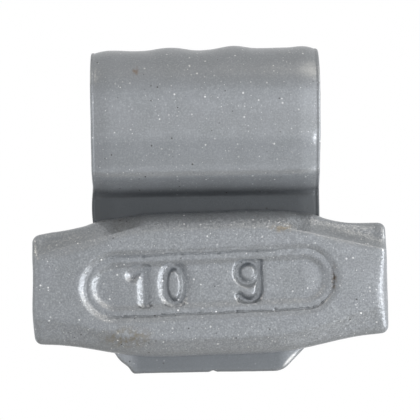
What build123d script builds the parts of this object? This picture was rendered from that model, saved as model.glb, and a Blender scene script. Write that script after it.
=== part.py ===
from build123d import *
import os
from math import cos, pi, radians, tan

# Clip-on wheel balance weight: a barrel-shaped casting on a bent spring-steel clip.
# Frame: X runs along the rim, Z points away from the hub, Y points back to the tyre, so the face looks along -Y.
# The origin is on the axis of the clip's jaw, half-way along its width. Lengths are millimetres, angles degrees.

# Spring clip: the strip
STRIP_WIDTH = 18.0
STRIP_THICK = 0.8
STRIP_EDGE_ROUND = 0.25

# Spring clip: the jaw that grips the rim's lip
JAW_RADIUS = 3.0
JAW_WRAP = 192.0
LEG_LENGTH = 3.0
LIP_RADIUS = 2.0
LIP_TURN = 40.0
LIP_CORNER = 1.5

# Spring clip: the front of the hook and the slanted step back to the body, taken to the rear side's sharp corners
FRONT_RUN = 5.7
STEP_BACK = 3.0
STEP_DROP = 1.65
STEP_BEND = 0.4
NECK_BEND = 0.6
NECK_GAP = 1.635

# Spring clip: the tab below the body
TAB_REACH = 1.185
TAB_CHAMFER = 3.15
TAB_ROUND = 1.4

# Spring clip: the holes that key the strip into the casting
KEY_HOLE_RADIUS = 1.3
KEY_HOLE_PITCH = 9.0

# Body: the barrel, with heights taken to the sharp corners that are then rounded
BODY_LENGTH = 28.0
BARREL_FLAT = 4.2
BARREL_STEPS = 3
MID_HEIGHT = 11.83
END_HEIGHT = 9.0
FACE_MID_HEIGHT = 8.5
FACE_END_HEIGHT = 4.4
SLOPE_DEPTH = 0.95
SIDE_DRAFT = 12.0
FACE_COVER = 2.5
BACK_COVER = 0.5
FACE_EDGE_ROUND = 0.7
MID_SHOULDER_ROUND = 1.8
END_SHOULDER_ROUND = 0.9
BACK_ROUND = 0.6

# Body: its place on the clip, where it sits a little off centre and askew
BODY_SHIFT = 0.2
BODY_SKEW = 0.9

# Body: the oblong panel stamped into the face, with a drawn-in surround, a seam and a sunken floor
PANEL_LENGTH = 19.5
PANEL_HEIGHT = 4.75
PANEL_SKEW = 0.75
PANEL_LIFT = 0.07
DRAW_MARGIN = 0.45
DRAW_DEPTH = 0.2
SEAM_WIDTH = 0.12
SEAM_DEPTH = 0.1
LEDGE_WIDTH = 0.45
WALL_WIDTH = 0.45
PANEL_DEPTH = 0.45

# Body: the number and unit, stamped into the panel's floor as grooves
MARK_HEIGHT = 2.85
MARK_MOUTH = 1.4
MARK_BOTTOM = 0.2
MARK_DEPTH = 0.35
MARK_LEAD = 0.05
ISLAND_SLOPE = 0.45
ONE_PLACE = -5.2
FLAG_REACH = 0.95
FLAG_DROP = 0.6
ZERO_PLACE = -2.85
ZERO_WIDTH = 1.5
UNIT_PLACE = 3.0
UNIT_WIDTH = 1.7
UNIT_HEIGHT = 3.1
UNIT_MOUTH = 0.9
UNIT_TAIL_TURN = 150.0

# Places that follow from the sizes
STRIP_BACK_Y = STEP_BACK - JAW_RADIUS
STRIP_FRONT_Y = STRIP_BACK_Y - STRIP_THICK
NECK_Z = -FRONT_RUN - STEP_DROP
BODY_TOP_Z = NECK_Z - NECK_GAP
BODY_Z = BODY_TOP_Z - MID_HEIGHT / 2
TAB_FOOT_Z = BODY_TOP_Z - MID_HEIGHT - TAB_REACH
FACE_Y = STRIP_FRONT_Y - FACE_COVER
BACK_Y = STRIP_BACK_Y + BACK_COVER
STOCK_Y = BACK_Y + BACK_COVER
SHOULDER_Y = FACE_Y + SLOPE_DEPTH

SIDE_PLANE = Plane.YZ
BODY_PLACE = Pos(BODY_SHIFT, 0, BODY_Z) * Rot(0, -BODY_SKEW, 0)
PANEL_PLACE = Pos(0, FACE_Y, PANEL_LIFT) * Rot(90, 0, PANEL_SKEW)
FLOOR_PLACE = PANEL_PLACE * Pos(0, 0, -PANEL_DEPTH)


def strip_line():
    """The strip's rear side in the side view: up from the tab's foot, over the jaw and down to its lip."""
    foot = (STRIP_BACK_Y, TAB_FOOT_Z)
    neck = (STRIP_BACK_Y, NECK_Z)
    step = (-JAW_RADIUS, -FRONT_RUN)
    brow = (-JAW_RADIUS, 0)
    with BuildLine() as line:
        FilletPolyline(foot, neck, step, brow, radius=[NECK_BEND + STRIP_THICK, STEP_BEND])
        crown = CenterArc((0, 0), JAW_RADIUS, 180, -JAW_WRAP)
        leg = PolarLine(crown @ 1, LEG_LENGTH, direction=crown % 1)
        JernArc(leg @ 1, leg % 1, LIP_RADIUS, LIP_TURN)
    return line.wire()


def bent_strip():
    """The strip at its full thickness and width, with plain ends and edges."""
    profile = make_face(offset(strip_line(), STRIP_THICK, side=Side.LEFT))
    return extrude(SIDE_PLANE * profile, STRIP_WIDTH / 2, both=True)


def lip_face(strip):
    """The end face of the strip at the jaw's lip."""
    line = strip_line()
    across = (line % 1).rotate(Axis.Z, 90)
    middle = line @ 1 + across * STRIP_THICK / 2
    return strip.faces().sort_by_distance(SIDE_PLANE.from_local_coords(middle))[0]


def corner_edges(end_face):
    """The two corners of an end of the strip, from left to right."""
    edges = end_face.edges().sort_by(Axis.X)
    return [edges[0], edges[-1]]


def spring_clip():
    """The bent strip with its cut tab corners, rounded lip corners, key holes and softened edges."""
    strip = bent_strip()
    strip = chamfer(corner_edges(strip.faces().sort_by(Axis.Z)[0]), TAB_CHAMFER)
    strip = fillet(corner_edges(strip.faces().sort_by(Axis.Z)[0])[-1], TAB_ROUND)
    strip = fillet(corner_edges(lip_face(strip)), LIP_CORNER)
    strip = fillet(strip.faces().filter_by(Axis.X).edges(), STRIP_EDGE_ROUND)
    for side in (-1, 1):
        middle = Pos(side * KEY_HOLE_PITCH / 2, STRIP_FRONT_Y + STRIP_THICK / 2, BODY_Z)
        strip -= middle * Rot(90, 0, 0) * Cylinder(KEY_HOLE_RADIUS, 2 * STRIP_THICK)
    return strip


def barrel_share(x):
    """How much of the barrel's swelling is left at a distance from its middle: 1 there, 0 at the ends."""
    span = BODY_LENGTH / 2 - BARREL_FLAT
    return 0.5 + 0.5 * cos(pi * max(0.0, abs(x) - BARREL_FLAT) / span)


def barrel_section(x):
    """The section across the length: flat face, slopes out to the shoulders, drafted sides past the back."""
    share = barrel_share(x)
    face = (FACE_END_HEIGHT + share * (FACE_MID_HEIGHT - FACE_END_HEIGHT)) / 2
    shoulder = (END_HEIGHT + share * (MID_HEIGHT - END_HEIGHT)) / 2
    shoulder_round = END_SHOULDER_ROUND + share * (MID_SHOULDER_ROUND - END_SHOULDER_ROUND)
    stock = shoulder - (STOCK_Y - SHOULDER_Y) * tan(radians(SIDE_DRAFT))
    upper = [(FACE_Y, face), (SHOULDER_Y, shoulder), (STOCK_Y, stock)]
    lower = [(y, -z) for y, z in reversed(upper)]
    rounds = [FACE_EDGE_ROUND, shoulder_round, 0]
    outline = FilletPolyline(*upper, *lower, radius=rounds + rounds[::-1], close=True)
    return Plane.YZ.offset(x) * make_face(outline)


def barrel():
    """The plain casting before its panel: lofted along X, cut flat at the back, its ends and back rounded."""
    spacing = (BODY_LENGTH / 2 - BARREL_FLAT) / BARREL_STEPS
    right = [BARREL_FLAT + step * spacing for step in range(BARREL_STEPS + 1)]
    left = [-x for x in reversed(right)]
    stock = loft([barrel_section(x) for x in [*left, 0, *right]])
    casting = split(stock, Plane.XZ.offset(-BACK_Y), keep=Keep.TOP)
    ends = casting.faces().filter_by(Axis.X)
    back_edges = casting.faces().sort_by(Axis.Y)[-1].edges().sort_by(Axis.Z)
    return fillet([*ends.edges(), back_edges[0], back_edges[-1]], BACK_ROUND)


def stadium(inset, depth):
    """The panel's oblong outline, drawn in by an inset, at a depth behind the face."""
    return PANEL_PLACE * Pos(0, 0, -depth) * SlotOverall(PANEL_LENGTH - 2 * inset, PANEL_HEIGHT - 2 * inset)


def stamped_panel():
    """What the stamp sinks: the surround drawn down to the seam, the seam itself and the floor inside its ledge."""
    surround = loft([stadium(-2 * DRAW_MARGIN, -DRAW_DEPTH), stadium(0, DRAW_DEPTH)], ruled=True)
    seam_foot = DRAW_DEPTH + SEAM_DEPTH
    seam = loft([stadium(0, DRAW_DEPTH), stadium(0, seam_foot)], ruled=True)
    seam -= loft([stadium(SEAM_WIDTH, DRAW_DEPTH), stadium(SEAM_WIDTH, seam_foot)], ruled=True)
    wall_foot = stadium(LEDGE_WIDTH + WALL_WIDTH, PANEL_DEPTH)
    return surround + seam + loft([stadium(LEDGE_WIDTH, DRAW_DEPTH), wall_foot], ruled=True)


def groove(path, mouth):
    """A stamped stroke along a line or arc: a groove that narrows from its mouth to its bottom."""
    top = FLOOR_PLACE * Pos(0, 0, MARK_LEAD) * SlotArc(path, mouth)
    bottom = FLOOR_PLACE * Pos(0, 0, -MARK_DEPTH) * SlotArc(path, MARK_BOTTOM)
    return loft([top, bottom], ruled=True)


def ring(x, y, width, height, mouth):
    """A closed oval stroke around a point of the floor, with an island left standing inside it."""
    top = FLOOR_PLACE * Pos(x, y, MARK_LEAD)
    bottom = FLOOR_PLACE * Pos(x, y, -MARK_DEPTH)

    def oval(level, outset):
        return level * Ellipse(width / 2 + outset, height / 2 + outset)

    outside = loft([oval(top, mouth / 2), oval(bottom, MARK_BOTTOM / 2)], ruled=True)
    return outside - loft([oval(top, -ISLAND_SLOPE), oval(bottom, -MARK_BOTTOM / 2)], ruled=True)


def number():
    """The plain number 10 in stamped strokes: the weight in grams."""
    top, bottom = MARK_HEIGHT / 2, -MARK_HEIGHT / 2
    stem = groove(Line((ONE_PLACE, top), (ONE_PLACE, bottom)), MARK_MOUTH)
    flag = groove(Line((ONE_PLACE, top), (ONE_PLACE - FLAG_REACH, top - FLAG_DROP)), MARK_MOUTH)
    return [stem, flag, ring(ZERO_PLACE, 0, ZERO_WIDTH, MARK_HEIGHT, MARK_MOUTH)]


def unit():
    """The unit g in stamped strokes: a round bowl, and a stem that ends in a tail."""
    radius = UNIT_WIDTH / 2
    tail_y = radius - UNIT_HEIGHT / 2
    bowl_y = UNIT_HEIGHT / 2 - radius
    stem_x = UNIT_PLACE + radius
    bowl = ring(UNIT_PLACE, bowl_y, UNIT_WIDTH, UNIT_WIDTH, UNIT_MOUTH)
    stem = groove(Line((stem_x, bowl_y + radius), (stem_x, tail_y)), UNIT_MOUTH)
    tail = groove(CenterArc((UNIT_PLACE, tail_y), radius, 0, -UNIT_TAIL_TURN), UNIT_MOUTH)
    return [bowl, stem, tail]


def weight_body(clip):
    """The casting with its stamped panel and number, closed around the clip."""
    casting = barrel() - stamped_panel()
    for mark in number() + unit():
        casting -= mark
    return BODY_PLACE * casting - clip


def main():
    """Write one file for each piece."""
    os.makedirs("parts", exist_ok=True)
    clip = spring_clip()
    export_step(clip, "parts/spring_clip.step")
    export_step(weight_body(clip), "parts/weight_body.step")


if __name__ == "__main__":
    main()
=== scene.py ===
"""The wheel balance weight under its grey paint, lit as in a light tent and framed as in its photograph."""

import logging
import math
from dataclasses import dataclass
from enum import Enum
from typing import Any

import bpy
import numpy as np
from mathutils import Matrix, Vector

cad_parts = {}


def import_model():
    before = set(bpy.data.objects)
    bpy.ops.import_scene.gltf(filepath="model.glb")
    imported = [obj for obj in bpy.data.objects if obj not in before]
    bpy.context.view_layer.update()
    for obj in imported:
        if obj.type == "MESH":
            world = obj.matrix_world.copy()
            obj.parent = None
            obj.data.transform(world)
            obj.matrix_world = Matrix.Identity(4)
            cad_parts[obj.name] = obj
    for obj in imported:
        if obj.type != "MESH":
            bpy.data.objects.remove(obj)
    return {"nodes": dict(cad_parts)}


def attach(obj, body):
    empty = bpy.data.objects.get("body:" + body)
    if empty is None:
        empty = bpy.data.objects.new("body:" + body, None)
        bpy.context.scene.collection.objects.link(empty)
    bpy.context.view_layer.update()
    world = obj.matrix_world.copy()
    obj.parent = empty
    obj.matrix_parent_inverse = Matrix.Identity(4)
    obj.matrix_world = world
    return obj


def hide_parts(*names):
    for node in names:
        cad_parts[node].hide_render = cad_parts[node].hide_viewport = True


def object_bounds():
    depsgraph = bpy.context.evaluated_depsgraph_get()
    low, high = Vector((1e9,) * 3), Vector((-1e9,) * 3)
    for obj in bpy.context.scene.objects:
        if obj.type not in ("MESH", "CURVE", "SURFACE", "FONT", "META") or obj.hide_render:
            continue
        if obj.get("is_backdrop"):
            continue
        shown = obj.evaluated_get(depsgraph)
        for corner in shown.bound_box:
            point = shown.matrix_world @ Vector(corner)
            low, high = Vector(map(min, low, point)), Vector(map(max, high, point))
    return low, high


LOG = logging.getLogger("balance_weight")
MM = 0.001
# Vertices closer than this are one
MERGE_MM = 1e-4
# A weight below this presses nothing
WEIGHT_FLOOR = 1e-4
# A smoothing pass moves a vertex by this share towards the middle of its neighbours
SMOOTH_SHARE = 0.5


class Node(Enum):
    """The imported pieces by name."""

    BODY = "weight_body"
    CLIP = "spring_clip"


class Slot(Enum):
    """The finishes by name."""

    BODY = "painted_casting"
    CLIP = "painted_spring_steel"


class Way(Enum):
    """The direction in which a surface is pressed."""

    ALONG = "X"
    BACK = "Y"
    UP = "Z"
    OUT = "NORMAL"


def hex_to_linear(code: str) -> tuple[float, float, float, float]:
    """Turn an sRGB hex colour into linear RGBA.

    Args:
        code: The colour as six hex digits after a hash sign.

    Returns:
        The linear red, green and blue, and an alpha of one.
    """
    channels = [int(code[i:i + 2], 16) / 255 for i in (1, 3, 5)]
    linear = [c / 12.92 if c <= 0.04045 else ((c + 0.055) / 1.055) ** 2.4 for c in channels]
    return (*linear, 1.0)


def add_node(
    tree: bpy.types.NodeTree,
    kind: str,
    settings: dict[Any, Any] | None = None,
    links: dict[Any, bpy.types.NodeSocket] | None = None,
) -> bpy.types.Node:
    """Add a shader node with its settings and links.

    Args:
        tree: The node tree that gets the node.
        kind: The node's type name.
        settings: Values by the name of an attribute, or by the name or number of an input.
        links: Output sockets by the name or number of the input that each one feeds.

    Returns:
        The new node.
    """
    node = tree.nodes.new(kind)
    for key, value in (settings or {}).items():
        if isinstance(key, str) and hasattr(node, key):
            setattr(node, key, value)
        else:
            node.inputs[key].default_value = value
    for key, output in (links or {}).items():
        tree.links.new(output, node.inputs[key])
    return node


def empty_tree(owner: bpy.types.Material | bpy.types.World) -> bpy.types.NodeTree:
    """Give a material or a world an empty node tree.

    Args:
        owner: The material or the world.

    Returns:
        Its node tree.
    """
    owner.use_nodes = True
    owner.node_tree.nodes.clear()
    return owner.node_tree


def only(piece: bpy.types.Object) -> None:
    """Make one object the active one and the only one selected.

    Args:
        piece: The object that is selected.
    """
    bpy.ops.object.select_all(action="DESELECT")
    piece.select_set(True)
    bpy.context.view_layer.objects.active = piece


def modify(piece: bpy.types.Object, kind: str, **settings: Any) -> None:
    """Add a modifier to a piece and apply it.

    Args:
        piece: The object that is changed.
        kind: The modifier's type name.
        **settings: The modifier's own values.
    """
    modifier = piece.modifiers.new(kind.lower(), kind)
    for key, value in settings.items():
        setattr(modifier, key, value)
    only(piece)
    bpy.ops.object.modifier_apply(modifier=modifier.name)


def rescale(piece: bpy.types.Object, factor: float) -> None:
    """Scale a piece about the origin and put the scale into its mesh.

    Args:
        piece: The object that is scaled.
        factor: The scale along every axis.
    """
    only(piece)
    piece.scale = (factor, factor, factor)
    bpy.ops.object.transform_apply(location=True, rotation=True, scale=True)


def even_copy(source: bpy.types.Object, name: str, voxel_mm: float, passes: int) -> bpy.types.Object:
    """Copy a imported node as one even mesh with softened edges, in millimetres, which the voxel size needs.

    Args:
        source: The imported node's object.
        name: The copy's name.
        voxel_mm: The size of the copy's faces.
        passes: The number of smoothing passes.

    Returns:
        The copy, linked to the scene.
    """
    copy = bpy.data.objects.new(name, source.data.copy())
    bpy.context.scene.collection.objects.link(copy)
    copy.data.materials.clear()
    rescale(copy, 1 / MM)
    bpy.ops.object.mode_set(mode="EDIT")
    bpy.ops.mesh.select_all(action="SELECT")
    bpy.ops.mesh.remove_doubles(threshold=MERGE_MM)
    bpy.ops.object.mode_set(mode="OBJECT")
    modify(copy, "REMESH", mode="VOXEL", voxel_size=voxel_mm)
    modify(copy, "SMOOTH", factor=SMOOTH_SHARE, iterations=passes)
    return copy


def settle(piece: bpy.types.Object) -> None:
    """Bring a shaped piece back to metres and shade it smoothly."""
    rescale(piece, MM)
    bpy.ops.object.shade_smooth()


def points(piece: bpy.types.Object) -> np.ndarray:
    """Read a piece's vertices.

    Args:
        piece: The object that is read.

    Returns:
        Rows of x, y and z.
    """
    rows = np.empty(len(piece.data.vertices) * 3)
    piece.data.vertices.foreach_get("co", rows)
    return rows.reshape(-1, 3)


def outward(piece: bpy.types.Object) -> np.ndarray:
    """Read a piece's vertex normals.

    Args:
        piece: The object that is read.

    Returns:
        Rows of x, y and z.
    """
    rows = np.empty(len(piece.data.vertices) * 3, np.float32)
    piece.data.vertex_normals.foreach_get("vector", rows)
    return rows.reshape(-1, 3)


def ease(share: np.ndarray) -> np.ndarray:
    """Smooth a share that runs from nought to one."""
    share = np.clip(share, 0, 1)
    return share * share * (3 - 2 * share)


def displace(piece: bpy.types.Object, weights: np.ndarray, way: Way, distance_mm: float) -> None:
    """Push a surface by a weighted distance, as with a painted weight and a Displace modifier.

    Args:
        piece: The object that is changed, in millimetres.
        weights: One weight for each vertex.
        way: The direction of the push.
        distance_mm: The push where the weight is one.
    """
    group = piece.vertex_groups.new(name="press")
    for index in np.flatnonzero(weights > WEIGHT_FLOOR):
        group.add([int(index)], float(weights[index]), "REPLACE")
    modify(
        piece, "DISPLACE", vertex_group=group.name,
        direction=way.value, strength=distance_mm, mid_level=0.0)
    piece.vertex_groups.clear()


@dataclass(frozen=True)
class Press:
    """A soft push of the surface: full at its middle, gone at its reach along each axis."""

    place_mm: tuple[float, float, float]
    reach_mm: tuple[float, float, float]
    way: Way
    distance_mm: float

    def apply(self, piece: bpy.types.Object) -> None:
        """Press a piece that is still in millimetres."""
        away = np.linalg.norm((points(piece) - self.place_mm) / self.reach_mm, axis=1)
        displace(piece, ease(1 - away), self.way, self.distance_mm)


@dataclass(frozen=True)
class Crease:
    """A crease along a line in x and z: the front to the line's left drops back, steeply at first.

    The drop is full past the width. It fades at both ends of the line, and towards the back within the depth.
    """

    start_mm: tuple[float, float]
    end_mm: tuple[float, float]
    width_mm: float
    drop_mm: float
    fade_mm: float
    depth_mm: float

    def apply(self, piece: bpy.types.Object) -> None:
        """Crease a piece.

        Args:
            piece: The object that is changed, in millimetres.
        """
        spots = points(piece)
        start, end = np.array(self.start_mm), np.array(self.end_mm)
        length = np.linalg.norm(end - start)
        along = (end - start) / length
        run = (spots[:, [0, 2]] - start) @ along
        past = (spots[:, [0, 2]] - start) @ (-along[1], along[0])
        share = 1 - (1 - np.clip(past / self.width_mm, 0, 1)) ** 2
        share *= ease(run / self.fade_mm) * ease((length - run) / self.fade_mm)
        displace(piece, share * ease(-spots[:, 1] / self.depth_mm), Way.BACK, self.drop_mm)


@dataclass(frozen=True)
class Ripple:
    """The coat's slow waves, where the paint ran a little thicker or thinner."""

    size_mm: float
    height_mm: float

    def apply(self, piece: bpy.types.Object) -> None:
        """Ripple a piece.

        Args:
            piece: The object that is changed, in millimetres.
        """
        texture = bpy.data.textures.new("ripple", "CLOUDS")
        texture.noise_scale = self.size_mm
        modify(
            piece, "DISPLACE", texture=texture,
            direction=Way.OUT.value, strength=self.height_mm, mid_level=0.5)


@dataclass(frozen=True)
class StainAndPaintedLight:
    """A soft blot of colour, more or less broken up into grains, used for real rust and dirt, for painted
    shade and for a painted highlight.

    Its turn is in degrees about the depth, and its core is the share of its reach within which it is full.
    Its grains fill in between two levels of a noise.
    """

    place_mm: tuple[float, float, float]
    reach_mm: tuple[float, float, float]
    colour: str
    strength: float
    grain_mm: float = 0.35
    grain_share: float = 1.0
    turn: float = 0.0
    core: float = 0.2
    grain_levels: tuple[float, float] = (0.38, 0.62)

    def mask(self, tree: bpy.types.NodeTree, place: bpy.types.NodeSocket) -> bpy.types.NodeSocket:
        """Mask the stain.

        Args:
            tree: The paint's node tree.
            place: The point on the piece, in metres.

        Returns:
            A factor that is at most the stain's strength.
        """
        local = add_node(tree, "ShaderNodeMapping", {
            "vector_type": "TEXTURE",
            "Location": [spot * MM for spot in self.place_mm],
            "Rotation": (0, math.radians(self.turn), 0),
            "Scale": [reach * MM for reach in self.reach_mm],
        }, {"Vector": place})
        away = add_node(tree, "ShaderNodeVectorMath", {"operation": "LENGTH"}, {0: local.outputs["Vector"]})
        near = add_node(tree, "ShaderNodeMapRange", {
            "interpolation_type": "SMOOTHSTEP",
            "From Min": 1.0, "From Max": self.core, "To Max": self.strength,
        }, {"Value": away.outputs["Value"]})
        grain = add_node(tree, "ShaderNodeTexNoise", {
            "Scale": 1 / (self.grain_mm * MM), "Detail": 3.0}, {"Vector": place})
        low, high = self.grain_levels
        broken = add_node(tree, "ShaderNodeMapRange", {
            "From Min": low, "From Max": high, "To Min": 1 - self.grain_share,
        }, {"Value": grain.outputs["Fac"]})
        mask = add_node(tree, "ShaderNodeMath", {"operation": "MULTIPLY"}, {
            0: near.outputs["Result"], 1: broken.outputs["Result"]})
        return mask.outputs["Value"]


@dataclass(frozen=True)
class PaintedShade:
    """Painted shade: a stretch across the piece painted darker where the surface lies in shade.

    Its place and reach are in y and z, and its core is the share of its reach within which it is full.
    Towards the sides it fades between the two half widths.
    """

    place_mm: tuple[float, float]
    reach_mm: tuple[float, float]
    half_width_mm: tuple[float, float]
    colour: str = "#6b7074"
    strength: float = 1.0
    core: float = 0.35

    def mask(self, tree: bpy.types.NodeTree, place: bpy.types.NodeSocket) -> bpy.types.NodeSocket:
        """Mask the stretch of painted shade.

        Args:
            tree: The paint's node tree.
            place: The point on the piece, in metres.

        Returns:
            A factor that is at most the shade's strength.
        """
        scale = [0.0, *(1 / (reach * MM) for reach in self.reach_mm)]
        middle = [0.0, *(-spot * MM * by for spot, by in zip(self.place_mm, scale[1:]))]
        local = add_node(tree, "ShaderNodeMapping", {"Location": middle, "Scale": scale}, {"Vector": place})
        away = add_node(tree, "ShaderNodeVectorMath", {"operation": "LENGTH"}, {0: local.outputs["Vector"]})
        near = add_node(tree, "ShaderNodeMapRange", {
            "interpolation_type": "SMOOTHSTEP",
            "From Min": 1.0, "From Max": self.core, "To Max": self.strength,
        }, {"Value": away.outputs["Value"]})
        parts = add_node(tree, "ShaderNodeSeparateXYZ", None, {"Vector": place})
        side = add_node(tree, "ShaderNodeMath", {"operation": "ABSOLUTE"}, {0: parts.outputs["X"]})
        inner, outer = self.half_width_mm
        between = add_node(tree, "ShaderNodeMapRange", {
            "interpolation_type": "SMOOTHSTEP", "From Min": outer * MM, "From Max": inner * MM,
        }, {"Value": side.outputs["Value"]})
        mask = add_node(tree, "ShaderNodeMath", {"operation": "MULTIPLY"}, {
            0: near.outputs["Result"], 1: between.outputs["Result"]})
        return mask.outputs["Value"]


@dataclass(frozen=True)
class GreyPaint:
    """Silver-grey stoving paint, sprayed: satin, with fine metal flakes that glint on slopes.

    To the eye it lies between enamel and metal: faces look grainy, and slopes towards a lamp shine softly.
    The real flakes are too fine to show, so flakes, grains, glints and sparks are drawn as coarse as they
    need to show. The glints and sparks are painted glints: white dots in the colour, bright under any lamp.
    Dots end and are full at the two edges, in shares of their radius.
    """

    name: str
    stains_and_painted_light: tuple[StainAndPaintedLight, ...] = ()
    painted_shade: tuple[PaintedShade, ...] = ()
    base: str = "#9599a0"
    mottle: str = "#8f9498"
    mottle_mm: float = 1.8
    metallic: float = 0.5
    roughness: float = 0.36
    flake_mm: float = 0.08
    flake_tilt: float = 0.3
    grain: str = "#abb0b6"
    grain_mm: float = 0.13
    grain_strength: float = 0.9
    grain_levels: tuple[float, float] = (0.45, 0.75)
    # The white of the painted glints and sparks
    glint: str = "#f6f8fa"
    glint_cell_mm: float = 0.26
    glint_radius_mm: float = 0.036
    glint_share: float = 0.6
    spark_cell_mm: float = 0.6
    spark_radius_mm: float = 0.075
    spark_share: float = 0.8
    speck: str = "#3a3835"
    speck_cell_mm: float = 0.53
    speck_radius_mm: float = 0.07
    speck_share: float = 0.35
    dot_edge: tuple[float, float] = (1.2, 0.8)
    dot_fade: float = 2.0

    def dots(
        self,
        tree: bpy.types.NodeTree,
        place: bpy.types.NodeSocket,
        cell_mm: float,
        radius_mm: float,
        share: float,
    ) -> bpy.types.NodeSocket:
        """Scatter round dots, a few of them strong and most of them faint, over the cells of a cell pattern.

        Args:
            tree: The paint's node tree.
            place: The point on the piece, in metres.
            cell_mm: The cells' size.
            radius_mm: The dots' radius.
            share: The share of the cells that get a dot.

        Returns:
            A factor that is one in the middle of the strongest dots.
        """
        cells = add_node(tree, "ShaderNodeTexVoronoi", {"Scale": 1 / (cell_mm * MM)}, {"Vector": place})
        chance = add_node(tree, "ShaderNodeSeparateColor", None, {"Color": cells.outputs["Color"]})
        chosen = add_node(tree, "ShaderNodeMapRange", {
            "From Min": share, "From Max": 0.0}, {"Value": chance.outputs["Red"]})
        strong = add_node(tree, "ShaderNodeMath", {
            "operation": "POWER", 1: self.dot_fade}, {0: chosen.outputs["Result"]})
        radius = radius_mm / cell_mm
        outer, inner = (edge * radius for edge in self.dot_edge)
        disc = add_node(tree, "ShaderNodeMapRange", {
            "interpolation_type": "SMOOTHSTEP", "From Min": outer, "From Max": inner,
        }, {"Value": cells.outputs["Distance"]})
        dot = add_node(tree, "ShaderNodeMath", {"operation": "MULTIPLY"}, {
            0: strong.outputs["Value"], 1: disc.outputs["Result"]})
        return dot.outputs["Value"]

    def tone(self, tree: bpy.types.NodeTree, place: bpy.types.NodeSocket) -> bpy.types.NodeSocket:
        """Mix the coat's drifting colour with its grains, painted glints and sparks, painted shade, blots of
        rust and dirt, a painted highlight and specks.

        Args:
            tree: The paint's node tree.
            place: The point on the piece, in metres.

        Returns:
            The colour.
        """
        drift = add_node(tree, "ShaderNodeTexNoise", {
            "Scale": 1 / (self.mottle_mm * MM), "Detail": 4.0}, {"Vector": place})
        colour = add_node(tree, "ShaderNodeMix", {
            "data_type": "RGBA", 6: hex_to_linear(self.base), 7: hex_to_linear(self.mottle),
        }, {0: drift.outputs["Fac"]}).outputs[2]
        grains = add_node(tree, "ShaderNodeTexNoise", {
            "Scale": 1 / (self.grain_mm * MM), "Detail": 2.0}, {"Vector": place})
        low, high = self.grain_levels
        grainy = add_node(tree, "ShaderNodeMapRange", {
            "From Min": low, "From Max": high, "To Max": self.grain_strength,
        }, {"Value": grains.outputs["Fac"]})
        # The glints and sparks are painted glints: white dots mixed into the colour
        glint = self.dots(tree, place, self.glint_cell_mm, self.glint_radius_mm, self.glint_share)
        spark = self.dots(tree, place, self.spark_cell_mm, self.spark_radius_mm, self.spark_share)
        speck = self.dots(tree, place, self.speck_cell_mm, self.speck_radius_mm, self.speck_share)
        layers = [(grainy.outputs["Result"], self.grain), (glint, self.glint), (spark, self.glint)]
        layers += [(patch.mask(tree, place), patch.colour) for patch in (*self.painted_shade, *self.stains_and_painted_light)]
        for mask, layer in [*layers, (speck, self.speck)]:
            colour = add_node(tree, "ShaderNodeMix", {
                "data_type": "RGBA", 7: hex_to_linear(layer)}, {0: mask, 6: colour}).outputs[2]
        return colour

    def flake_normal(self, tree: bpy.types.NodeTree, place: bpy.types.NodeSocket) -> bpy.types.NodeSocket:
        """Lay the flakes at slightly different angles, so that slopes that face a lamp sparkle.

        Args:
            tree: The paint's node tree.
            place: The point on the piece, in metres.

        Returns:
            The tilted normal.
        """
        flakes = add_node(tree, "ShaderNodeTexVoronoi", {
            "Scale": 1 / (self.flake_mm * MM)}, {"Vector": place})
        centred = add_node(tree, "ShaderNodeVectorMath", {
            "operation": "SUBTRACT", 1: (0.5, 0.5, 0.5)}, {0: flakes.outputs["Color"]})
        tilted = add_node(tree, "ShaderNodeVectorMath", {
            "operation": "SCALE", "Scale": self.flake_tilt}, {0: centred.outputs["Vector"]})
        normal = add_node(tree, "ShaderNodeNewGeometry").outputs["Normal"]
        leaning = add_node(tree, "ShaderNodeVectorMath", {"operation": "ADD"}, {
            0: normal, 1: tilted.outputs["Vector"]})
        relief = add_node(tree, "ShaderNodeVectorMath", {"operation": "NORMALIZE"}, {
            0: leaning.outputs["Vector"]})
        return relief.outputs["Vector"]

    def material(self) -> bpy.types.Material:
        """Build the paint's node tree.

        Returns:
            The new material.
        """
        material = bpy.data.materials.new(self.name)
        tree = empty_tree(material)
        place = add_node(tree, "ShaderNodeTexCoord").outputs["Object"]
        colour = self.tone(tree, place)
        normal = self.flake_normal(tree, place)
        shader = add_node(tree, "ShaderNodeBsdfPrincipled", {
            "Metallic": self.metallic, "Roughness": self.roughness}, {
            "Base Color": colour, "Normal": normal})
        add_node(tree, "ShaderNodeOutputMaterial", None, {"Surface": shader.outputs["BSDF"]})
        return material


CLIP_STAINS_AND_HIGHLIGHT = (
    # A brown streak high on the left
    StainAndPaintedLight((-5.4, -3.4, 2.0), (0.35, 2.0, 0.7), "#7d6a58", 0.7),
    # A painted highlight along the tab's cut edge
    StainAndPaintedLight(
        (6.45, -0.8, -21.05), (1.05, 1.5, 0.19), "#f2f4f5", 0.9,
        grain_mm=0.2, grain_share=0.35, turn=-47.0),
)
CLIP_PAINTED_SHADE = (
    # Painted shade in the recess above the weight
    PaintedShade((-0.8, -8.9), (3.0, 2.0), (20.0, 21.0), "#505458"),
    # Painted shade on the tab below the weight
    PaintedShade((-0.8, -20.9), (2.0, 1.7), (5.4, 6.6), "#70757a", 0.85),
    # Painted shade on the bend at the top
    PaintedShade((-2.6, 1.9), (3.0, 2.8), (20.0, 21.0), strength=0.28),
    # Painted shade on the stretch above the step
    PaintedShade((-3.8, -4.6), (3.0, 1.7), (20.0, 21.0), strength=0.3),
    # Painted shade on the bend into the step
    PaintedShade((-3.4, -6.9), (3.0, 0.9), (20.0, 21.0), strength=0.17),
)
BODY_PAINTED_SHADE = (
    # Painted shade on the rim beside the recess
    PaintedShade((-0.8, -8.6), (2.0, 1.0), (7.3, 8.1), strength=0.5),
)
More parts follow.
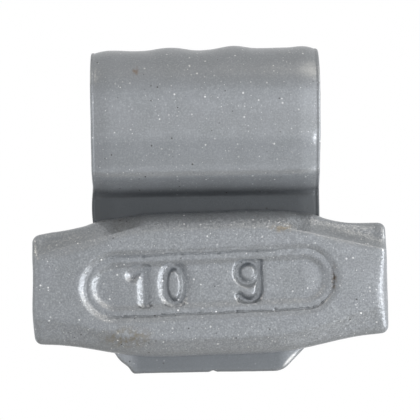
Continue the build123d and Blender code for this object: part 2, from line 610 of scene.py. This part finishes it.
BODY_STAINS_AND_SHADE = (
    # Painted shade in the hollows above the creases of the left and the right lobe
    StainAndPaintedLight((-11.3, -2.4, -11.3), (4.8, 2.0, 0.95), "#6b7074", 0.47, grain_share=0.15, turn=-14.5),
    StainAndPaintedLight((11.0, -2.3, -11.15), (4.2, 2.0, 0.75), "#6b7074", 0.5, grain_share=0.15, turn=13.0),
    # Brown stains on the lower slope, on the rim and in the seam at the right
    StainAndPaintedLight((-6.4, -3.0, -19.0), (2.8, 2.0, 1.2), "#807a6b", 0.75),
    StainAndPaintedLight((5.9, -3.0, -10.6), (1.2, 2.0, 0.5), "#8a7f6a", 0.75),
    StainAndPaintedLight((9.95, -2.9, -14.6), (0.32, 1.0, 1.7), "#5f5448", 0.95, grain_mm=0.25),
)
STEEL_PAINT = GreyPaint("painted_spring_steel", CLIP_STAINS_AND_HIGHLIGHT, CLIP_PAINTED_SHADE, base="#a0a4ab", flake_tilt=0.1)
CASTING_PAINT = GreyPaint("painted_casting", BODY_STAINS_AND_SHADE, BODY_PAINTED_SHADE)


@dataclass
class SpringClip:
    """The bent strip of spring steel under its paint."""

    name: str = "spring_clip_painted"
    paint: GreyPaint = STEEL_PAINT
    voxel_mm: float = 0.14
    smoothing: int = 6
    step_mm: float = -5.7
    crown_reach_mm: float = 1.7
    crown_drop_mm: float = 0.3
    tab_edge_mm: tuple[tuple[float, float], tuple[float, float]] = ((7.55, -20.28), (5.85, -21.98))
    tab_roll_mm: float = 0.5
    tab_drop_mm: float = 0.2
    coat: tuple[Ripple, ...] = (Ripple(3.0, 0.05),)
    presses: tuple[Press, ...] = (
        # The top edge runs in slow waves and turns up at its right end
        Press((-5.4, 0.0, 3.8), (2.2, 4.5, 2.2), Way.UP, -0.07),
        Press((-2.7, 0.0, 3.8), (2.0, 4.5, 2.2), Way.UP, 0.14),
        Press((-0.4, 0.0, 3.8), (1.6, 4.5, 2.2), Way.UP, -0.1),
        Press((2.4, 0.0, 3.8), (1.9, 4.5, 2.2), Way.UP, 0.22),
        Press((8.2, 0.0, 3.8), (1.6, 4.5, 2.2), Way.UP, 0.14),
        # Its right corner is rounded off
        Press((9.2, 0.0, 4.0), (0.6, 4.5, 0.8), Way.UP, -0.1),
        # The front swells a little half-way down, between two shallow hollows
        Press((0.0, -3.8, -5.15), (60.0, 2.0, 1.9), Way.BACK, 0.15),
        Press((0.0, -3.8, -0.9), (60.0, 2.0, 2.4), Way.BACK, 0.1),
        # The tab's left corner is sharp, and its side runs straight to it
        Press((-6.9, -0.4, -21.0), (1.2, 1.5, 1.3), Way.ALONG, -0.2),
        Press((-6.0, -0.4, -22.0), (0.9, 1.5, 0.9), Way.ALONG, -0.2),
        Press((-6.0, -0.4, -22.0), (0.9, 1.5, 0.9), Way.UP, -0.04),
        # The tab's lower edge has a nick
        Press((0.3, -0.4, -22.1), (0.35, 1.5, 0.5), Way.UP, 0.14),
        # The left edge stands out a little beside the recess
        Press((-9.0, -0.4, -8.8), (1.5, 2.0, 2.5), Way.ALONG, -0.15),
        # The right edge bulges a little and has a knocked spot
        Press((9.0, -1.0, 0.4), (1.5, 6.0, 5.5), Way.ALONG, 0.2),
        Press((9.0, -3.8, -3.3), (1.5, 2.0, 3.0), Way.ALONG, 0.06),
        Press((9.0, -3.9, -3.6), (0.8, 1.2, 0.9), Way.BACK, 0.16),
    )

    def outer(self, piece: bpy.types.Object) -> np.ndarray:
        """Weigh how far each vertex belongs to the strip's outer side.

        Args:
            piece: The strip, in millimetres.

        Returns:
            One weight for each vertex: one on the outer side, nought on the edges and the inner side.
        """
        spots, normals = points(piece), outward(piece)
        away = np.stack([spots[:, 1], np.where(spots[:, 2] > 0, spots[:, 2], 0)], 1)
        away[spots[:, 2] < self.step_mm] = (-1, 0)
        facing = (normals[:, 1:] * away).sum(1)
        return (1 - normals[:, 0] ** 2) * (facing > 0)

    def crown(self, piece: bpy.types.Object) -> None:
        """Round the strip's outer side off towards its two long edges, as shearing leaves it.

        Args:
            piece: The strip, in millimetres.
        """
        across = np.abs(points(piece)[:, 0])
        share = np.clip(1 - (across.max() - across) / self.crown_reach_mm, 0, 1) ** 2
        displace(piece, share * self.outer(piece), Way.OUT, -self.crown_drop_mm)

    def roll_tab_edge(self, piece: bpy.types.Object) -> None:
        """Roll the front of the tab off towards its cut edge on the right.

        Args:
            piece: The strip, in millimetres.
        """
        spots = points(piece)
        start, end = np.array(self.tab_edge_mm)
        along = (end - start) / np.linalg.norm(end - start)
        inward = (spots[:, [0, 2]] - start) @ (along[1], -along[0])
        share = np.clip(1 - inward / self.tab_roll_mm, 0, 1) ** 2
        share *= spots[:, 2] < start[1] + self.tab_roll_mm
        displace(piece, share * self.outer(piece), Way.BACK, self.tab_drop_mm)

    def build(self, source: bpy.types.Object) -> bpy.types.Object:
        """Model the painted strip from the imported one.

        Args:
            source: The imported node.

        Returns:
            The finished mesh object.
        """
        piece = even_copy(source, self.name, self.voxel_mm, self.smoothing)
        self.crown(piece)
        self.roll_tab_edge(piece)
        for shape in (*self.presses, *self.coat):
            shape.apply(piece)
        settle(piece)
        return piece

    def dress(self, piece: bpy.types.Object) -> None:
        """Give the strip its paint and its place in the frame.

        Args:
            piece: The finished mesh object.
        """
        piece.data.materials.append(self.paint.material())
        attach(piece, "root")
        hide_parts(Node.CLIP.value)


@dataclass(frozen=True)
class StampedPanel:
    """The oblong panel in the weight's face, where the stamp left a thin wandering seam."""

    middle_mm: tuple[float, float] = (0.2, -14.83)
    turn: float = 1.65
    length_mm: float = 19.5
    height_mm: float = 4.75
    margin_mm: float = 0.6
    front_mm: float = -2.2
    face_mm: float = -3.3
    deepening: float = 0.1
    end_sink_mm: float = 0.15
    wall_mm: tuple[float, float] = (0.4, 0.9)
    wall_sink_mm: float = 0.07
    fine_smoothing: int = 6
    seam_width_mm: float = 0.06
    seam_depth_mm: float = 0.07
    lip_width_mm: float = 0.08
    lip_height_mm: float = 0.03
    lip_offset_mm: float = 0.14
    worn_share: float = 0.75
    worn_reach_mm: float = 1.2
    wander_mm: tuple[float, ...] = (0.025, 0.012, 0.008)
    wander_length_mm: tuple[float, ...] = (4.7, 1.9, 0.83)
    facing_levels: tuple[float, float] = (0.25, 0.75)

    @property
    def straight_mm(self) -> float:
        """Half the length of the panel's straight sides."""
        return (self.length_mm - self.height_mm) / 2

    def local(self, spots: np.ndarray) -> tuple[np.ndarray, np.ndarray]:
        """Measure points along and across the panel from its middle.

        Args:
            spots: Rows of x, y and z in millimetres.

        Returns:
            The places along the panel and across it.
        """
        x, z = spots[:, 0] - self.middle_mm[0], spots[:, 2] - self.middle_mm[1]
        cos, sin = math.cos(math.radians(self.turn)), math.sin(math.radians(self.turn))
        return x * cos + z * sin, z * cos - x * sin

    def outside(self, spots: np.ndarray) -> np.ndarray:
        """Measure how far points lie outside the panel's outline, which wanders a little.

        Args:
            spots: Rows of x, y and z in millimetres.

        Returns:
            The distances, below nought inside the outline.
        """
        along, across = self.local(spots)
        past = np.maximum(np.abs(along) - self.straight_mm, 0)
        away = np.hypot(past, across) - self.height_mm / 2
        for swing, length in zip(self.wander_mm, self.wander_length_mm):
            away += swing * np.sin(2 * math.pi * (along + across / 2) / length)
        return away

    def deepen(self, piece: bpy.types.Object) -> None:
        """Press the relief in further, so that its rounded slopes stay steep, and most at the left end.

        Args:
            piece: The weight, in millimetres.
        """
        spots = points(piece)
        inside = ease(1 - self.outside(spots) / self.margin_mm) * (spots[:, 1] < self.front_mm)
        depth = np.clip(spots[:, 1] - self.face_mm, 0, 1) * inside
        displace(piece, depth, Way.BACK, self.deepening)
        left = ease(-self.local(spots)[0] * 2 / self.length_mm)
        displace(piece, inside * left, Way.BACK, self.end_sink_mm)
        top, foot = self.wall_mm
        floor = ease((-self.outside(spots) - top) / (foot - top)) * (spots[:, 1] < self.front_mm)
        displace(piece, floor * left, Way.BACK, self.wall_sink_mm)

    def refine(self, piece: bpy.types.Object) -> None:
        """Divide the faces of the panel once more, so that its fine lines hold, and smooth them.

        Args:
            piece: The weight, in millimetres.
        """
        rows = np.empty(len(piece.data.polygons) * 3)
        piece.data.polygons.foreach_get("center", rows)
        centres = rows.reshape(-1, 3)
        chosen = (self.outside(centres) < self.margin_mm) & (centres[:, 1] < self.front_mm)
        only(piece)
        bpy.ops.object.mode_set(mode="EDIT")
        bpy.ops.mesh.select_mode(type="FACE")
        bpy.ops.mesh.select_all(action="DESELECT")
        bpy.ops.object.mode_set(mode="OBJECT")
        piece.data.polygons.foreach_set("select", chosen)
        bpy.ops.object.mode_set(mode="EDIT")
        bpy.ops.mesh.subdivide(number_cuts=1)
        bpy.ops.mesh.vertices_smooth(factor=SMOOTH_SHARE, repeat=self.fine_smoothing)
        bpy.ops.object.mode_set(mode="OBJECT")

    def score(self, piece: bpy.types.Object) -> None:
        """Sink the seam and raise the lip outside it, both nearly filled at the left end and upper right.

        Args:
            piece: The weight, in millimetres.
        """
        spots = points(piece)
        along, across = self.local(spots)
        low, high = self.facing_levels
        facing = ease((-outward(piece)[:, 1] - low) / (high - low)) * (spots[:, 1] < self.front_mm)
        facing *= 1 - self.worn_share * ease((-along - self.straight_mm) / self.worn_reach_mm)
        right = ease((along - self.length_mm / 4) / self.worn_reach_mm)
        facing *= 1 - self.worn_share * (right * ease(across / self.worn_reach_mm))
        away = self.outside(spots)
        seam = np.exp(-(away / self.seam_width_mm) ** 2) * facing
        lip = np.exp(-((away - self.lip_offset_mm) / self.lip_width_mm) ** 2) * facing
        displace(piece, seam, Way.BACK, self.seam_depth_mm)
        displace(piece, lip, Way.BACK, -self.lip_height_mm)


@dataclass
class WeightBody:
    """The weight that is closed around the strip, with its stamped face, under its paint."""

    name: str = "weight_body_painted"
    paint: GreyPaint = CASTING_PAINT
    voxel_mm: float = 0.085
    smoothing: int = 5
    panel: StampedPanel = StampedPanel()
    coat: tuple[Ripple, ...] = (Ripple(3.5, 0.05), Ripple(0.9, 0.012))
    keep_share: float = 0.38
    strip_front_mm: float = -0.8
    roll_reach_mm: float = 1.5
    roll_share: float = 0.27
    nose_mm: tuple[float, float] = (7.0, 8.3)
    rim_step_mm: float = 0.25
    presses: tuple[Press, ...] = (
        # The face falls away towards both ends
        Press((-14.2, -3.3, -15.1), (9.0, 2.6, 6.5), Way.BACK, 0.3),
        Press((14.5, -3.3, -14.7), (9.0, 2.6, 6.5), Way.BACK, 0.3),
        Press((15.2, -3.3, -15.7), (2.1, 3.0, 3.6), Way.BACK, 0.8),
        # The lobes' tops stand upright along their edges, and the right one ends squarely
        Press((11.2, -2.0, -9.6), (3.8, 3.0, 1.1), Way.BACK, -0.4),
        Press((14.3, -2.5, -11.0), (1.2, 3.0, 1.6), Way.BACK, -0.35),
        Press((-11.5, -2.0, -10.3), (3.8, 3.0, 1.1), Way.BACK, -0.25),
        Press((-14.0, -2.5, -11.3), (1.2, 3.0, 1.6), Way.BACK, -0.3),
        # A nose stands beside each edge of the strip
        Press((8.3, -2.0, -9.5), (1.2, 3.0, 1.2), Way.UP, 0.1),
        Press((-8.5, -2.0, -9.7), (1.6, 3.0, 1.2), Way.UP, 0.14),
        # The lobes' outer corners lie a little lower
        Press((12.0, -2.0, -9.9), (3.5, 3.0, 1.3), Way.UP, -0.08),
        Press((-13.9, -2.0, -10.8), (1.8, 4.0, 1.4), Way.UP, -0.14),
        # The left end leans out below
        Press((-13.8, -1.5, -16.8), (2.0, 4.0, 3.5), Way.ALONG, -0.13),
        # The right lobe's top sags a little
        Press((10.5, -2.0, -9.8), (3.2, 3.0, 1.3), Way.UP, -0.17),
        # The panel's left end lies a little further out
        Press((-9.4, -3.0, -15.0), (3.0, 1.2, 3.0), Way.ALONG, -0.16),
        # The panel's floor rises to its right end, and swells and dips there
        Press((11.2, -2.85, -14.6), (5.2, 1.0, 2.4), Way.BACK, -0.25),
        Press((7.6, -2.85, -14.6), (1.8, 1.0, 1.9), Way.BACK, -0.06),
        Press((9.25, -2.85, -14.6), (1.8, 1.0, 1.9), Way.BACK, 0.13),
    )
    creases: tuple[Crease, ...] = (
        # The tops of the right and the left lobe lie behind the face
        Crease((6.0, -10.5), (15.4, -12.7), 1.0, 0.6, 1.8, 1.5),
        Crease((-15.4, -12.9), (-4.6, -10.1), 1.0, 0.45, 1.8, 1.5),
        # The right lobe's lower slope starts at a faint line
        Crease((15.4, -16.1), (6.0, -19.4), 1.2, 0.12, 1.8, 1.5),
    )

    def roll_rim(self, piece: bpy.types.Object) -> None:
        """Roll the upper rim back to the strip, between the two noses that stand beside the strip's edges.

        Args:
            piece: The weight, in millimetres.
        """
        spots = points(piece)
        steps = np.round(spots[:, 0] / self.rim_step_mm).astype(int)
        steps -= steps.min()
        top = np.full(steps.max() + 1, -np.inf)
        np.maximum.at(top, steps, spots[:, 2])
        first = np.round(spots[:, 0].min() / self.rim_step_mm)
        middles = (np.arange(len(top)) + first) * self.rim_step_mm
        below = np.interp(spots[:, 0], middles, top) - spots[:, 2]
        inner, outer = self.nose_mm
        between = ease((outer - np.abs(spots[:, 0])) / (outer - inner))
        proud = np.maximum(self.strip_front_mm - spots[:, 1], 0)
        share = np.clip(1 - below / self.roll_reach_mm, 0, 1) ** 2 * between * proud / proud.max()
        displace(piece, share, Way.BACK, self.roll_share * proud.max())

    def thin_out(self, piece: bpy.types.Object) -> None:
        """Reduce the mesh everywhere but along the panel's seam and lip.

        Args:
            piece: The weight, in millimetres.
        """
        spots = points(piece)
        seam = np.abs(self.panel.outside(spots)) < self.panel.lip_offset_mm * 2
        seam &= spots[:, 1] < self.panel.front_mm
        plain = np.flatnonzero(~seam)
        group = piece.vertex_groups.new(name="plain")
        group.add(plain.tolist(), 1.0, "REPLACE")
        modify(piece, "DECIMATE", ratio=self.keep_share, vertex_group=group.name)
        piece.vertex_groups.clear()

    def build(self, source: bpy.types.Object) -> bpy.types.Object:
        """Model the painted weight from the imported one.

        Args:
            source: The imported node.

        Returns:
            The finished mesh object.
        """
        piece = even_copy(source, self.name, self.voxel_mm, self.smoothing)
        self.roll_rim(piece)
        self.panel.deepen(piece)
        for shape in (*self.presses, *self.creases, *self.coat):
            shape.apply(piece)
        self.panel.refine(piece)
        self.panel.score(piece)
        self.thin_out(piece)
        settle(piece)
        return piece

    def dress(self, piece: bpy.types.Object) -> None:
        """Give the weight its paint and its place in the frame.

        Args:
            piece: The finished mesh object.
        """
        piece.data.materials.append(self.paint.material())
        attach(piece, "root")
        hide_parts(Node.BODY.value)


@dataclass(frozen=True)
class Softbox:
    """One panel of the light tent, aimed at the middle of the weight."""

    name: str
    azimuth: float
    elevation: float
    watts: float
    colour: str = "#ffffff"
    distance_mm: float = 200.0
    width_mm: float = 80.0
    height_mm: float = 80.0

    def hang(self, target: Vector) -> None:
        """Hang the panel and aim it.

        Args:
            target: The point that it faces, in metres.
        """
        turn, rise = math.radians(self.azimuth), math.radians(self.elevation)
        away = Vector((math.sin(turn) * math.cos(rise), -math.cos(turn) * math.cos(rise), math.sin(rise)))
        lamp = bpy.data.lights.new(self.name, "AREA")
        lamp.shape = "RECTANGLE"
        lamp.size, lamp.size_y = self.width_mm * MM, self.height_mm * MM
        lamp.energy = self.watts
        lamp.color = hex_to_linear(self.colour)[:3]
        panel = bpy.data.objects.new(self.name, lamp)
        panel.location = target + away * self.distance_mm * MM
        panel.rotation_euler = (-away).to_track_quat("-Z", "Y").to_euler()
        bpy.context.scene.collection.objects.link(panel)


@dataclass
class Studio:
    """The camera, the light tent, the white surround and the pale floor."""

    camera_mm: tuple[float, float, float] = (0.276, -200.0, -9.08)
    roll: float = 1.0
    lens_mm: float = 214.4
    sensor_mm: float = 36.0
    clip_near_mm: float = 10.0
    backdrop: str = "#ffffff"
    ambient: str = "#ffffff"
    ambient_strength: float = 0.01
    floor_colour: str = "#f2f2f0"
    floor_drop_mm: float = 60.0
    floor_radius_mm: float = 95.0
    floor_sides: int = 96
    softboxes: tuple[Softbox, ...] = (
        # A tall lamp draws the highlights, and the tent's panels fill in
        Softbox("lamp_right", 64.0, -22.0, 0.31, width_mm=70.0, height_mm=240.0),
        Softbox("tent_right", 72.0, 23.0, 0.16, "#fff9f0"),
        Softbox("tent_lower_right", 70.0, -54.0, 0.07),
        Softbox("tent_below_right", 45.0, -54.0, 0.03),
        Softbox("tent_upper_right", 45.0, 55.0, 0.055, "#fff3e2"),
        Softbox("tent_upper_left", -75.0, 40.0, 0.1, "#fff3e2"),
        Softbox("tent_left", -60.0, 0.0, 0.02),
        Softbox("tent_lower_left", -58.0, -54.0, 0.05),
        Softbox("tent_below", 5.0, -54.0, 0.04),
        Softbox("tent_front", 18.0, 0.0, 0.02),
    )

    def place_camera(self) -> None:
        """Set the camera square on to the face, a little rolled, as in the photograph."""
        data = bpy.data.cameras.new("photo_camera")
        data.lens, data.sensor_width = self.lens_mm, self.sensor_mm
        data.clip_start = self.clip_near_mm * MM
        camera = bpy.data.objects.new("photo_camera", data)
        camera.location = Vector(self.camera_mm) * MM
        camera.rotation_euler = (math.radians(90), math.radians(self.roll), 0)
        bpy.context.scene.collection.objects.link(camera)
        bpy.context.scene.camera = camera

    def hang_lights(self, target: Vector) -> None:
        """Hang the tent's panels.

        Args:
            target: The point that they face, in metres.
        """
        for softbox in self.softboxes:
            softbox.hang(target)

    def surround(self) -> None:
        """Make the world white to the camera and to reflections, and a faint light to the rest."""
        world = bpy.data.worlds.new("light_tent")
        bpy.context.scene.world = world
        tree = empty_tree(world)
        path = add_node(tree, "ShaderNodeLightPath")
        either = add_node(tree, "ShaderNodeMath", {"operation": "MAXIMUM"}, {
            0: path.outputs["Is Camera Ray"], 1: path.outputs["Is Glossy Ray"]})
        seen = add_node(tree, "ShaderNodeMath", {"operation": "MAXIMUM"}, {
            0: either.outputs["Value"], 1: path.outputs["Is Transmission Ray"]})
        light = add_node(tree, "ShaderNodeBackground", {
            "Color": hex_to_linear(self.ambient), "Strength": self.ambient_strength})
        white = add_node(tree, "ShaderNodeBackground", {
            "Color": hex_to_linear(self.backdrop), "Strength": 1.0})
        mixed = add_node(tree, "ShaderNodeMixShader", None, {
            0: seen.outputs["Value"], 1: light.outputs["Background"], 2: white.outputs["Background"]})
        add_node(tree, "ShaderNodeOutputWorld", None, {"Surface": mixed.outputs["Shader"]})

    def lay_floor(self, lowest: float) -> None:
        """Lay a pale matt disc under the weight, below the picture's lower edge.

        Args:
            lowest: The height of the weight's lowest point, in metres.
        """
        bpy.ops.object.select_all(action="DESELECT")
        bpy.ops.mesh.primitive_circle_add(
            vertices=self.floor_sides, radius=self.floor_radius_mm * MM, fill_type="NGON",
            location=(0, 0, lowest - self.floor_drop_mm * MM))
        floor = bpy.context.active_object
        floor.name = "floor"
        # The tent is lit from below too, so the floor takes the weight's shadow and casts none
        floor.visible_shadow = False
        material = bpy.data.materials.new("matt_board")
        tree = empty_tree(material)
        board = add_node(tree, "ShaderNodeBsdfDiffuse", {"Color": hex_to_linear(self.floor_colour)})
        add_node(tree, "ShaderNodeOutputMaterial", None, {"Surface": board.outputs["BSDF"]})
        floor.data.materials.append(material)
        floor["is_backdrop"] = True

    def set_up(self, lowest: Vector, highest: Vector) -> None:
        """Build the whole studio around the weight.

        Args:
            lowest: The lowest corner of the weight's box, in metres.
            highest: The highest corner of the box, in metres.
        """
        bpy.context.scene.view_settings.view_transform = "Standard"
        self.place_camera()
        self.hang_lights((lowest + highest) / 2)
        self.surround()
        self.lay_floor(lowest.z)


def main() -> None:
    """Build the two painted pieces and the studio around them."""
    logging.basicConfig(level=logging.INFO, format="%(name)s: %(message)s")
    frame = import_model()
    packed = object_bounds()
    for assembly, node in ((SpringClip(), Node.CLIP), (WeightBody(), Node.BODY)):
        piece = assembly.build(frame["nodes"][node.value])
        assembly.dress(piece)
        LOG.info("%s: %d faces", piece.name, len(piece.data.polygons))
    Studio().set_up(*packed)


if __name__ == "__main__":
    main()
